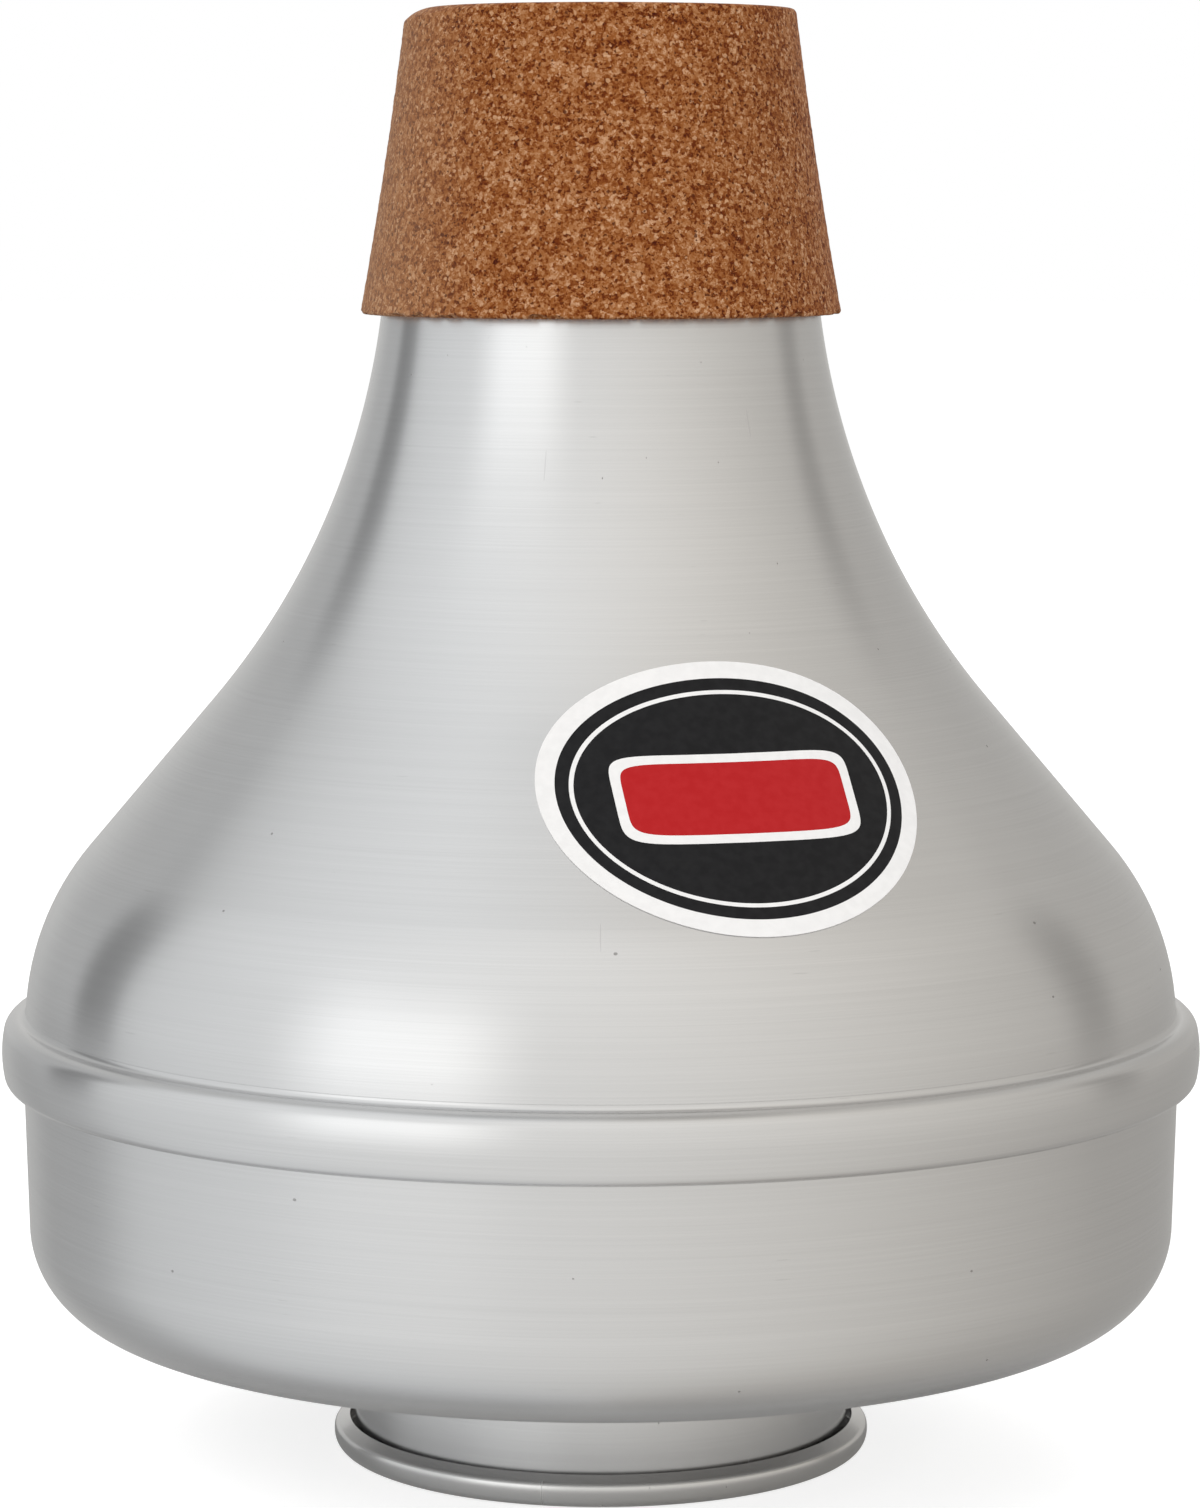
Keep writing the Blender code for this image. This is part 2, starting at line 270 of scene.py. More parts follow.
# Camera
CAMERA_PLACE = (-0.1 * MM, -570.0 * MM, 147.6 * MM)
CAMERA_PITCH = math.radians(6.56)
CAMERA_LENS = 117.12

# Numbers of the colour sockets of a Mix node
MIX_A = 6
MIX_B = 7
MIX_RESULT = 2


def arc(centre, radius, start, end):
    """Points (r, z) on a circle from one angle to another, both ends included."""
    widest = 2.0 * math.acos(1.0 - CHORD_DEPTH / radius)
    steps = max(3, math.ceil(abs(end - start) / widest))
    angles = [start + (end - start) * k / steps for k in range(steps + 1)]
    return [(centre[0] + radius * math.cos(a), centre[1] + radius * math.sin(a)) for a in angles]


def rounded(start, radius, first, last):
    """Arc whose first point is given, and the angles of its first and last radius."""
    centre = (start[0] - radius * math.cos(first), start[1] - radius * math.sin(first))
    return arc(centre, radius, first, last)


def offset(line, distance):
    """The line moved sideways by a distance, to the right of its direction."""
    corners = [Vector(point) for point in line]
    rights = []
    for a, b in zip(corners, corners[1:]):
        along = (b - a).normalized()
        rights.append(Vector((along.y, -along.x)))
    moved = []
    for k, corner in enumerate(corners):
        before = rights[max(k - 1, 0)]
        after = rights[min(k, len(rights) - 1)]
        middle = (before + after).normalized()
        moved.append(tuple(corner + middle * distance / middle.dot(after)))
    return moved


def sheet(line, thickness):
    """Closed outline of sheet metal whose outer face is the line."""
    return line + offset(line, thickness)[::-1]


def into_scene(name, data):
    """A new object in the scene."""
    made = bpy.data.objects.new(name, data)
    bpy.context.scene.collection.objects.link(made)
    return made


def finish_piece(name, mesh, look, nodes, body):
    """Shades a mesh, puts it into the scene, and ties it to the frame."""
    mesh.materials.append(look)
    mesh.shade_smooth()
    mesh.set_sharp_from_angle(angle=SHARP_ANGLE)
    piece = into_scene(name, mesh)
    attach(piece, body)
    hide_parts(*nodes)
    return piece


def turned_mesh(name, outline, segments, relief=None):
    """Mesh of a closed outline turned about Z. Its attribute along is the way along the outline."""
    profile = np.array(outline, float)
    steps = np.linalg.norm(np.roll(profile, -1, axis=0) - profile, axis=1)
    along = np.concatenate([[0.0], np.cumsum(steps)[:-1]])
    angles = math.tau * np.arange(segments) / segments
    radius = np.repeat(profile[:, :1], segments, axis=1)
    level = np.repeat(profile[:, 1:], segments, axis=1)
    if relief is not None:
        radius, level = relief(radius, level, angles)
    points = np.stack([radius * np.cos(angles), radius * np.sin(angles), level], axis=2)
    count = len(profile)
    k = np.arange(count)[:, None]
    j = np.arange(segments)[None, :]
    k_next = (k + 1) % count
    j_next = (j + 1) % segments
    corners = [k * segments + j, k * segments + j_next, k_next * segments + j_next, k_next * segments + j]
    # The sign of the outline's area says which way round its faces look outward
    r, z = profile.T
    area = np.sum(r * np.roll(z, -1) - np.roll(r, -1) * z)
    faces = np.stack(corners if area > 0 else corners[::-1], axis=2)
    mesh = bpy.data.meshes.new(name)
    mesh.from_pydata(points.reshape(-1, 3).tolist(), [], faces.reshape(-1, 4).tolist())
    attribute = mesh.attributes.new("along", "FLOAT", "POINT")
    attribute.data.foreach_set("value", np.repeat(along, segments).astype(np.float32))
    mesh.update()
    return mesh


def bell_line():
    """Outer face of the upper shell, from the cork's lower edge down to the seam over the band."""
    shoulder = (SHELL_R - SHOULDER_RADIUS, BAND_TOP - SHOULDER_SINK)
    last_angle = math.asin((SHOULDER_SINK + BAND_FILLET + SEAM_WIDTH) / SHOULDER_RADIUS)
    round_part = arc(shoulder, SHOULDER_RADIUS, CONE_SLOPE, last_angle)
    down_cone = Vector((math.sin(CONE_SLOPE), -math.cos(CONE_SLOPE)))
    down_mouth = Vector((math.sin(MOUTH_SLOPE), -math.cos(MOUTH_SLOPE)))
    cone_top = Vector(round_part[0]) - down_cone * CONE_LENGTH
    mouth = Vector((MOUTH_R, MOUTH_LEVEL))
    reach = (cone_top - mouth).length * FLARE_HANDLE
    flare = interpolate_bezier(
        mouth,
        mouth + down_mouth * reach,
        cone_top - down_cone * reach,
        cone_top,
        FLARE_POINTS,
    )
    return [tuple(point) for point in flare] + round_part


def cork_side(radius_top, radius_bottom, level):
    """Radius of the cork's straight cone at a level."""
    share = (CORK_END - level) / (CORK_END - MOUTH_LEVEL)
    return radius_top + (radius_bottom - radius_top) * share


def seam_line(wall, top):
    """Fine groove in the bell's wall, from just under its top edge."""
    groove = wall - SEAM_DEPTH
    return [
        (groove, top - SEAM_WIDTH * SEAM_FLANK),
        (groove, top - SEAM_WIDTH * (1.0 - SEAM_FLANK)),
        (wall, top - SEAM_WIDTH),
    ]


def band_line(wall):
    """Outer side of the band, from the fillet against the bell's wall down to its bottom."""
    fillet_centre = (wall + BAND_FILLET, BAND_TOP + BAND_FILLET)
    line = arc(fillet_centre, BAND_FILLET, FILLET_START, math.radians(270.0))
    face_drop = BAND_FACE_RADIUS * (1.0 - math.cos(BAND_FACE_HIGH))
    top_r = BAND_R - face_drop - BAND_TOP_ROUND * math.cos(BAND_FACE_HIGH)
    top_centre = (top_r, BAND_TOP - BAND_TOP_ROUND)
    line += arc(top_centre, BAND_TOP_ROUND, math.radians(90.0), BAND_FACE_HIGH)
    line += rounded(line[-1], BAND_FACE_RADIUS, BAND_FACE_HIGH, BAND_FACE_LOW)[1:]
    bottom_round = (line[-1][1] - BAND_BOTTOM) / (1.0 + math.sin(BAND_FACE_LOW))
    line += rounded(line[-1], bottom_round, BAND_FACE_LOW, math.radians(-90.0))[1:]
    return line


def upper_shell_outline():
    """Seat for the cork, flare, cone, shoulder, and the band that goes over the lower shell."""
    seat_end = CORK_END - CORK_OVERHANG
    seat_top_r = CORK_TOP_R - CORK_THICKNESS - GAP
    spun = [(cork_side(seat_top_r, MOUTH_R, seat_end), seat_end)] + bell_line()
    inner = offset(spun, BODY_SHEET)
    wall, seam_top = spun[-1]
    bore = PAN_R + RIM_PLAY
    ledge = RIM_TOP + LEDGE_PLAY
    skirt = [(bore, BAND_BOTTOM + SKIRT_CHAMFER), (bore, ledge), (inner[-1][0], ledge)]
    return spun + seam_line(wall, seam_top) + band_line(wall) + skirt + inner[::-1]


def lower_shell_outline():
    """Pan whose rim stands inside the band, with a rounded hole for the neck in its floor."""
    foot_r = PAN_R - PAN_TAPER
    corner = (foot_r - PAN_CORNER_RADIUS, PAN_FLOOR + PAN_CORNER_RADIUS)
    hole_r = NECK_R + HOLE_PLAY
    hole = (hole_r + PAN_HOLE_ROUND, PAN_FLOOR + PAN_HOLE_ROUND)
    line = [(PAN_R, RIM_TOP), (PAN_R, BAND_BOTTOM)]
    line += arc(corner, PAN_CORNER_RADIUS, 0.0, math.radians(-90.0))
    line += arc(hole, PAN_HOLE_ROUND, math.radians(-90.0), math.radians(-180.0))
    line += [(hole_r, PAN_FLOOR + PAN_HOLE_ROUND + PAN_HOLE_LIP)]
    return sheet(line, BODY_SHEET)


def cork_outline():
    """Tapered cork sleeve, slightly hollow along its outer side."""
    outer = []
    top_level = CORK_END - CORK_ROUND
    foot_level = MOUTH_LEVEL + CORK_FOOT_ROUND
    for k in range(CORK_ROWS + 1):
        share = k / CORK_ROWS
        level = top_level + (foot_level - top_level) * share
        hollow = CORK_HOLLOW * 4.0 * share * (1.0 - share)
        outer.append((cork_side(CORK_TOP_R, CORK_BOTTOM_R, level) - hollow, level))
    top_centre = (outer[0][0] - CORK_ROUND, top_level)
    foot_centre = (outer[-1][0] - CORK_FOOT_ROUND, foot_level)
    top_edge = arc(top_centre, CORK_ROUND, math.radians(90.0), 0.0)
    foot_edge = arc(foot_centre, CORK_FOOT_ROUND, 0.0, math.radians(-90.0))
    end_radii = np.linspace(CORK_TOP_R - CORK_THICKNESS, top_edge[0][0], CORK_FACE_ROWS + 1)
    foot_radii = np.linspace(foot_edge[-1][0], MOUTH_R + CORK_PLAY, CORK_FACE_ROWS + 1)
    end_face = [(r, CORK_END) for r in end_radii[:-1]]
    foot_face = [(r, MOUTH_LEVEL) for r in foot_radii[1:]]
    return end_face + top_edge[:-1] + outer + foot_edge[1:] + foot_face


def worn_level(r, z, turn):
    """Level of a cork point once the end's outer corner is worn, most of all at the left."""
    wear = WEAR_LEAST + (1.0 - WEAR_LEAST) * math.exp(-((turn / WEAR_TURN) ** 2))
    depth = WEAR_DEPTH * wear
    width = WEAR_WIDTH * wear
    outer = cork_side(CORK_TOP_R, CORK_BOTTOM_R, CORK_END - depth)
    share = min(1.0, (r - (outer - width)) / width)
    if share <= 0.0:
        return z
    fall = 1.0 - (1.0 - share ** WEAR_CURVE) ** (1.0 / WEAR_CURVE)
    return min(z, CORK_END - depth * fall)


def cork_relief(radius, level, angles):
    """Grains, crumbs along the lower edge, and the worn corner of the end."""
    radius = radius.copy()
    level = level.copy()
    for k, j in np.ndindex(radius.shape):
        r = radius[k, j]
        z = level[k, j]
        place = Vector((r * math.cos(angles[j]), r * math.sin(angles[j]), z))
        turn = math.atan2(-math.sin(angles[j]), -math.cos(angles[j]))
        if z > CORK_END - WEAR_REACH:
            level[k, j] = worn_level(r, z, turn)
        if r < cork_side(CORK_TOP_R, CORK_BOTTOM_R, z) - CORK_SKIN:
            continue
        fine_grain = noise.noise(place / GRAIN_SIZE * FINE_GRAIN_RATIO)
        grain = noise.noise(place / GRAIN_SIZE) + FINE_GRAIN_SHARE * fine_grain
        radius[k, j] = r + GRAIN_RELIEF * (grain - GRAIN_SINK)
        from_foot = (z - MOUTH_LEVEL) / CRUMB_DEPTH
        if from_foot < 1.0:
            crumb = noise.noise(place / CRUMB_SIZE + CRUMB_PLACE)
            level[k, j] = z + max(0.0, crumb - CRUMB_LEAST) * CRUMB_HEIGHT * (1.0 - from_foot)
    return radius, level


def lip_side():
    """Outer side of the rolled lip, from its flat foot up over its edge to the slope's inner end."""
    foot_centre = (LIP_R - LIP_FOOT_ROUND, LIP_FOOT_ROUND)
    line = arc(foot_centre, LIP_FOOT_ROUND, math.radians(-90.0), LIP_SIDE_LOW)
    line += rounded(line[-1], LIP_SIDE_RADIUS, LIP_SIDE_LOW, LIP_SIDE_HIGH)[1:]
    line += rounded(line[-1], LIP_EDGE_ROUND, LIP_SIDE_HIGH, math.radians(90.0) - LIP_SLOPE)[1:]
    run = line[-1][0] - (LIP_R - LIP_WIDTH)
    return line + [(LIP_R - LIP_WIDTH, line[-1][1] + run * math.tan(LIP_SLOPE))]


def lip_hook(end_r, end_level):
    """Inner side of the rolled lip, up to the underside of its slope's inner end."""
    wall = LIP_R - STEM_SHEET
    hook_top = end_level - STEM_SHEET / math.cos(LIP_SLOPE)
    hook_side = hook_top - (wall - end_r) * math.tan(LIP_SLOPE)
    corner = (wall - LIP_HOOK_ROUND, STEM_SHEET + LIP_HOOK_ROUND)
    line = arc(corner, LIP_HOOK_ROUND, math.radians(-90.0), 0.0)
    return line + [(wall, hook_side), (end_r, hook_top)]


def cup_outline():
    """Stem cup: its collar, its bowl, and the rolled lip that it stands on."""
    collar_r = TUBE_R + TUBE_PLAY + STEM_SHEET
    fillet = (collar_r + CUP_COLLAR_ROUND, CUP_DEPTH + CUP_COLLAR_ROUND)
    corner = (CUP_R - CUP_CORNER_RADIUS, CUP_DEPTH - CUP_CORNER_RADIUS)
    heel = (CUP_R + LIP_HEEL_ROUND, STEM_SHEET + LIP_HEEL_ROUND)
    upper = [(collar_r, CUP_DEPTH + CUP_COLLAR_HEIGHT)]
    upper += arc(fillet, CUP_COLLAR_ROUND, math.radians(180.0), math.radians(270.0))
    upper += arc(corner, CUP_CORNER_RADIUS, math.radians(90.0), 0.0)
    upper += arc(heel, LIP_HEEL_ROUND, math.radians(180.0), math.radians(270.0))
    side = lip_side()
    return upper + lip_hook(*side[-1]) + side[::-1] + offset(upper, STEM_SHEET)[::-1]


def well_outline():
    """Spun well, open at the bottom, that the stem cup nests in; its mouth is the neck."""
    corner_r = CUP_CORNER_RADIUS + GAP + BODY_SHEET
    corner = (NECK_R - corner_r, WELL_TOP - corner_r)
    line = [(LINING_R + GAP, WELL_TOP)]
    line += arc(corner, corner_r, math.radians(90.0), 0.0)
    line += [(NECK_R, NECK_EDGE)]
    return sheet(line, BODY_SHEET)


def sleeve_outline():
    """Flanged sleeve that stands on the well's floor, turned in over the lining's end."""
    wall_r = LINING_R + GAP + STEM_SHEET
    flange_top = WELL_TOP + GAP + STEM_SHEET
    bend = (wall_r - SLEEVE_BEND, SLEEVE_TOP - SLEEVE_BEND)
    line = [(wall_r - SLEEVE_BEND - SLEEVE_END_LIP, SLEEVE_TOP)]
    line += arc(bend, SLEEVE_BEND, math.radians(90.0), 0.0)
    line += [(wall_r, flange_top), (FLANGE_R, flange_top)]
    return sheet(line, STEM_SHEET)


def lining_outline():
    """Cork sleeve inside the guide sleeve, which grips the stem tube."""
    bore = TUBE_R + TUBE_PLAY
    return [(bore, LINING_TOP), (LINING_R, LINING_TOP), (LINING_R, LINING_FOOT), (bore, LINING_FOOT)]


def tube_outline():
    """Open tube from the floor of the stem cup up into the body, its top edges broken."""
    bore = TUBE_R - STEM_SHEET
    below = TUBE_TOP - TUBE_EDGE
    top = [(bore + TUBE_EDGE, TUBE_TOP), (TUBE_R - TUBE_EDGE, TUBE_TOP), (TUBE_R, below)]
    foot = [(TUBE_R, TUBE_FOOT), (bore, TUBE_FOOT), (bore, below)]
    return top + foot


def node_tree(name):
    """A new node material, its nodes and links, and its Principled shader."""
    look = bpy.data.materials.new(name)
    look.use_nodes = True
    return look, look.node_tree.nodes, look.node_tree.links, look.node_tree.nodes["Principled BSDF"]


def math_node(nodes, links, operation, *values):
    """A Math node of two or three inputs, each a socket or a number."""
    made = nodes.new("ShaderNodeMath")
    made.operation = operation
    for socket, value in zip(made.inputs, values):
        if isinstance(value, (int, float)):
            socket.default_value = value
        else:
            links.new(value, socket)
    return made.outputs[0]


def weighted(nodes, links, parts):
    """Sum of (socket, weight) pairs."""
    total = None
    for source, weight in parts:
        term = math_node(nodes, links, "MULTIPLY", source, weight)
        total = term if total is None else math_node(nodes, links, "ADD", total, term)
    return total


def faded(nodes, links, value, zero_at, one_at):
    """0 at one value and 1 at another, the same beyond them, with a soft step between."""
    made = nodes.new("ShaderNodeMapRange")
    made.interpolation_type = "SMOOTHSTEP"
    made.inputs["From Min"].default_value = zero_at
    made.inputs["From Max"].default_value = one_at
    links.new(value, made.inputs["Value"])
    return made.outputs[0]


def ramp(nodes, links, source, stops):
    """A colour ramp over (place, colour) stops."""
    made = nodes.new("ShaderNodeValToRGB")
    links.new(source, made.inputs["Fac"])
    elements = made.color_ramp.elements
    for k, (place, colour) in enumerate((stops[0], stops[-1])):
        elements[k].position = place
        elements[k].color = (*colour, 1.0)
    for place, colour in stops[1:-1]:
        elements.new(place).color = (*colour, 1.0)
    return made.outputs["Color"]


def one_colour(nodes, colour):
    """A socket that gives one colour."""
    made = nodes.new("ShaderNodeRGB")
    made.outputs[0].default_value = (*colour, 1.0)
    return made.outputs[0]


def mixed_colour(nodes, links, factor, a, b):
    """Mix of two colour sockets."""
    made = nodes.new("ShaderNodeMix")
    made.data_type = "RGBA"
    links.new(factor, made.inputs["Factor"])
    links.new(a, made.inputs[MIX_A])
    links.new(b, made.inputs[MIX_B])
    return made.outputs[MIX_RESULT]


def mixed_shader(nodes, links, factor, a, b):
    """Mix of two shader sockets."""
    made = nodes.new("ShaderNodeMixShader")
    for source, socket in zip((factor, a, b), made.inputs):
        links.new(source, socket)
    return made.outputs[0]


def bumped(nodes, links, shader, height, strength, distance):
    """Lets a height bend the shader's normals."""
    bump = nodes.new("ShaderNodeBump")
    bump.inputs["Strength"].default_value = strength
    bump.inputs["Distance"].default_value = distance
    links.new(height, bump.inputs["Height"])
    links.new(bump.outputs[0], shader.inputs["Normal"])


def object_place(nodes):
    """Places in the object's own coordinates."""
    return nodes.new("ShaderNodeTexCoord").outputs["Object"]


def separated(nodes, links, vector):
    """The X, Y and Z of a vector."""
    made = nodes.new("ShaderNodeSeparateXYZ")
    links.new(vector, made.inputs[0])
    return made.outputs


def combined(nodes, links, *parts):
    """A vector of two or three sockets."""
    made = nodes.new("ShaderNodeCombineXYZ")
    for part, socket in zip(parts, made.inputs):
        links.new(part, socket)
    return made.outputs[0]


def along_outline(nodes):
    """The way along a turned piece's outline, in metres."""
    made = nodes.new("ShaderNodeAttribute")
    made.attribute_name = "along"
    return made.outputs["Fac"]


def plain_noise(nodes, links, vector, scale, detail):
    """Noise at a number of waves to the metre."""
    made = nodes.new("ShaderNodeTexNoise")
    made.inputs["Scale"].default_value = scale
    made.inputs["Detail"].default_value = detail
    links.new(vector, made.inputs["Vector"])
    return made


def random_cells(nodes, links, vector, scale, dimensions="3D"):
    """Cells, a number of them to the metre: the way to a cell's point, and its random numbers."""
    cells = nodes.new("ShaderNodeTexVoronoi")
    cells.voronoi_dimensions = dimensions
    cells.inputs["Scale"].default_value = scale
    links.new(vector, cells.inputs["Vector"])
    numbers = nodes.new("ShaderNodeSeparateColor")
    links.new(cells.outputs["Color"], numbers.inputs[0])
    return cells.outputs["Distance"], numbers.outputs


def line_noise(nodes, links, round_scale, along_scale, detail):
    """Noise drawn out round the axis: a lathe's marks, at a number of marks to the metre."""
    parts = separated(nodes, links, object_place(nodes))
    right = math_node(nodes, links, "MULTIPLY", parts["X"], round_scale)
    back = math_node(nodes, links, "MULTIPLY", parts["Y"], round_scale)
    along = math_node(nodes, links, "MULTIPLY", along_outline(nodes), along_scale)
    place = combined(nodes, links, right, back, along)
    return plain_noise(nodes, links, place, scale=1.0, detail=detail).outputs["Fac"]


def unrolled(nodes, links, round_scale, along_scale):
    """Places on the metal as if it were unrolled: round the axis, and along the outline."""
    parts = separated(nodes, links, object_place(nodes))
    turn = math_node(nodes, links, "ARCTAN2", parts["X"], parts["Y"])
    across = math_node(nodes, links, "MULTIPLY", turn, round_scale)
    along = math_node(nodes, links, "MULTIPLY", along_outline(nodes), along_scale)
    return combined(nodes, links, across, along)


def nicks(nodes, links, round_scale, along_scale, radius, share):
    """1 on small marks scattered over the metal, in a share of the cells, 0 elsewhere."""
    place = unrolled(nodes, links, round_scale, along_scale)
    distance, numbers = random_cells(nodes, links, place, scale=1.0, dimensions="2D")
    chosen = math_node(nodes, links, "LESS_THAN", numbers[0], share)
    size = math_node(nodes, links, "MULTIPLY", numbers[1], radius)
    near = math_node(nodes, links, "LESS_THAN", distance, size)
    return math_node(nodes, links, "MULTIPLY", chosen, near)


def lathe_marks(nodes, links):
    """Marks that the lathe left round the metal, fine ones over broader ones."""
    fine = line_noise(nodes, links, round_scale=24.0, along_scale=9000.0, detail=2.0)
    medium = line_noise(nodes, links, round_scale=9.0, along_scale=1500.0, detail=3.0)
    return weighted(nodes, links, [(fine, 0.65), (medium, 0.35)])


def worn_spots(nodes, links):
    """1 on tiny pits, and less on a few short scratches and fine hairs."""
    pits = nicks(nodes, links, round_scale=4.5, along_scale=90.0, radius=0.016, share=0.35)
    scratches = nicks(nodes, links, round_scale=14.0, along_scale=18.0, radius=0.035, share=0.10)
    hairs = nicks(nodes, links, round_scale=2.2, along_scale=500.0, radius=0.035, share=0.30)
    faint = weighted(nodes, links, [(scratches, 0.25), (hairs, 0.18)])
    return math_node(nodes, links, "MAXIMUM", pits, faint)


def drawn_out_sheen(nodes, links, shader):
    """Draws the metal's mirror image out across the lathe's marks."""
    shader.inputs["Anisotropic"].default_value = 0.75
    shader.inputs["Anisotropic Rotation"].default_value = 0.25
    tangent = nodes.new("ShaderNodeTangent")
    tangent.direction_type = "RADIAL"
    tangent.axis = "Z"
    links.new(tangent.outputs[0], shader.inputs["Tangent"])


def spun_metal(name, tone, roughness):
    """Satin spun aluminium: fine marks of the lathe round it, tiny pits and a few short scratches."""
    look, nodes, links, shader = node_tree(name)
    marks = lathe_marks(nodes, links)
    spots = worn_spots(nodes, links)
    dark = tuple(c * MARK_DARK for c in tone)
    light = tuple(min(1.0, c * MARK_LIGHT) for c in tone)
    metal = ramp(nodes, links, marks, [(0.3, dark), (0.7, light)])
    worn = one_colour(nodes, WORN_METAL)
    links.new(mixed_colour(nodes, links, spots, metal, worn), shader.inputs["Base Color"])
    broad = line_noise(nodes, links, round_scale=14.0, along_scale=90.0, detail=2.0)
    rough = weighted(nodes, links, [(broad, ROUGH_SPREAD), (spots, WORN_ROUGH)])
    least = roughness - ROUGH_SPREAD / 2
    links.new(math_node(nodes, links, "ADD", rough, least), shader.inputs["Roughness"])
    shader.inputs["Metallic"].default_value = 1.0
    drawn_out_sheen(nodes, links, shader)
    bumped(nodes, links, shader, marks, strength=0.25, distance=0.004 * MM)
    return look


def cell_tone(nodes, links, vector, scale):
    """A random number for each grain of a given number to the metre."""
    distance, numbers = random_cells(nodes, links, vector, scale)
    return numbers[0]


def scattered(nodes, links, vector, scale, radius, share):
    """1 on bits scattered in a share of the cells of a given number to the metre, 0 elsewhere."""
    distance, numbers = random_cells(nodes, links, vector, scale)
    chosen = math_node(nodes, links, "LESS_THAN", numbers[2], share)
    near = math_node(nodes, links, "LESS_THAN", distance, radius)
    return math_node(nodes, links, "MULTIPLY", chosen, near)


def bent_place(nodes, links, place, size):
    """Places shifted by noise, which makes the grains crooked."""
    bend = plain_noise(nodes, links, place, scale=1.1 / size, detail=2.0)
    shift = nodes.new("ShaderNodeVectorMath")
    shift.operation = "MULTIPLY_ADD"
    shift.inputs[1].default_value = (size * 1.2,) * 3
    links.new(bend.outputs["Color"], shift.inputs[0])
    links.new(place, shift.inputs[2])
    return shift.outputs[0]


def grain_tone(nodes, links, place, bent, size):
    """Tone of the grains: large ones, smaller ones, and broad patches."""
    grains = cell_tone(nodes, links, bent, scale=1.0 / size)
    small = cell_tone(nodes, links, bent, scale=2.1 / size)
    patches = plain_noise(nodes, links, place, scale=0.22 / size, detail=1.0).outputs["Fac"]
    return weighted(nodes, links, [(grains, 0.40), (small, 0.34), (patches, 0.26)])


def speckled(nodes, links, bent, size, body):
    """Cork's body with light chips and dark bits in it."""
    chips = scattered(nodes, links, bent, scale=0.8 / size, radius=0.42, share=0.07)
    chip_share = math_node(nodes, links, "MULTIPLY", chips, 0.65)
    chipped = mixed_colour(nodes, links, chip_share, body, one_colour(nodes, CHIP_COLOUR))
    bits = scattered(nodes, links, bent, scale=1.05 / size, radius=0.40, share=0.11)
    bit_share = math_node(nodes, links, "MULTIPLY", bits, 0.85)
    return mixed_colour(nodes, links, bit_share, chipped, one_colour(nodes, BIT_COLOUR))


def painted_left_sheen(nodes, links, place, body):
    """Cork's body, paler towards its left side under a painted sheen of the light from the left."""
    leftward = math_node(nodes, links, "MULTIPLY", separated(nodes, links, place)["X"], -1.0)
    # Painted sheen of the light from the left, growing towards the cork's left side
    left_sheen = faded(nodes, links, leftward, LEFT_SHEEN_FROM, LEFT_SHEEN_TO)
    veil = math_node(nodes, links, "MULTIPLY", left_sheen, LEFT_SHEEN_SHARE)
    return mixed_colour(nodes, links, veil, body, one_colour(nodes, LEFT_SHEEN_COLOUR))


def agglomerated_cork(name, size):
    """Pressed cork: orange-brown grains of about a given size, light chips and dark brown bits."""
    look, nodes, links, shader = node_tree(name)
    place = object_place(nodes)
    bent = bent_place(nodes, links, place, size)
    tone = grain_tone(nodes, links, place, bent, size)
    body = ramp(nodes, links, tone, CORK_TONES)
    flecked = speckled(nodes, links, bent, size, body)
    # The cork's left side gets a painted sheen of the light from the left
    links.new(painted_left_sheen(nodes, links, place, flecked), shader.inputs["Base Color"])
    shader.inputs["Roughness"].default_value = 0.70
    shader.inputs["Specular IOR Level"].default_value = 0.15
    shader.inputs["Sheen Weight"].default_value = 0.03
    shader.inputs["Sheen Roughness"].default_value = 0.45
    bumped(nodes, links, shader, tone, strength=0.4, distance=0.08 * MM)
    return look


def vinyl(name, colour):
    """Printed vinyl with a faint orange-peel surface."""
    look, nodes, links, shader = node_tree(name)
    peel = plain_noise(nodes, links, object_place(nodes), scale=900.0, detail=2.0).outputs["Fac"]
    pale = tuple(min(1.0, c * VINYL_LIGHT + VINYL_LIFT) for c in colour)
    tone = ramp(nodes, links, peel, [(0.35, colour), (0.65, pale)])
    links.new(tone, shader.inputs["Base Color"])
    shader.inputs["Roughness"].default_value = 0.45
    shader.inputs["Specular IOR Level"].default_value = 0.2
    bumped(nodes, links, shader, peel, strength=0.1, distance=0.02 * MM)
    return look


def oval(width, height, turn):
    """A point of an oval, at a turn round its centre."""
    return (width / 2 * math.cos(turn), height / 2 * math.sin(turn))


def bar(width, height, turn):
    """A point of a bar with round corners, at a turn round its centre."""
    power = 2.0 / BAR_SQUARENESS
    across = math.copysign(abs(math.cos(turn)) ** power, math.cos(turn))
    upward = math.copysign(abs(math.sin(turn)) ** power, math.sin(turn))
    return (width / 2 * across, height / 2 * upward)


def along_bell(line, distance):
    """Point and outward normal on the bell, a distance above the band along the metal."""
    left = distance
    k = len(line) - 1
    while k > 1 and left > (Vector(line[k - 1]) - Vector(line[k])).length:
        left -= (Vector(line[k - 1]) - Vector(line[k])).length
        k -= 1
    direction = (Vector(line[k - 1]) - Vector(line[k])).normalized()
    return Vector(line[k]) + direction * left, Vector((direction.y, -direction.x))


def label_spots():
    """Rings of flat label points from its edge to its middle, each with its paint."""
    # Shape, width and height in mm, paint from the ring before up to it, and the steps there
    forms = [
        (oval, 44.0, 35.0, WHITE, 1),
        (oval, 39.8, 30.8, WHITE, 2),
        (oval, 36.8, 27.8, BLACK, 2),
        (oval, 35.8, 26.8, WHITE, 1),
        (bar, 27.4, 11.4, BLACK, 5),
        (bar, 25.2, 9.2, WHITE, 1),
        (bar, 0.4, 0.2, RED, 6),
    ]
    turns = [math.tau * k / LABEL_SPOKES for k in range(LABEL_SPOKES)]
    rings = []
    before = None
    for form, width, height, paint, steps in forms:
        after = np.array([form(width * MM, height * MM, turn) for turn in turns])
        if before is None:
            rings.append((after, paint))
        else:
            for step in range(1, steps + 1):
                rings.append((before + (after - before) * step / steps, paint))
        before = after
    return rings


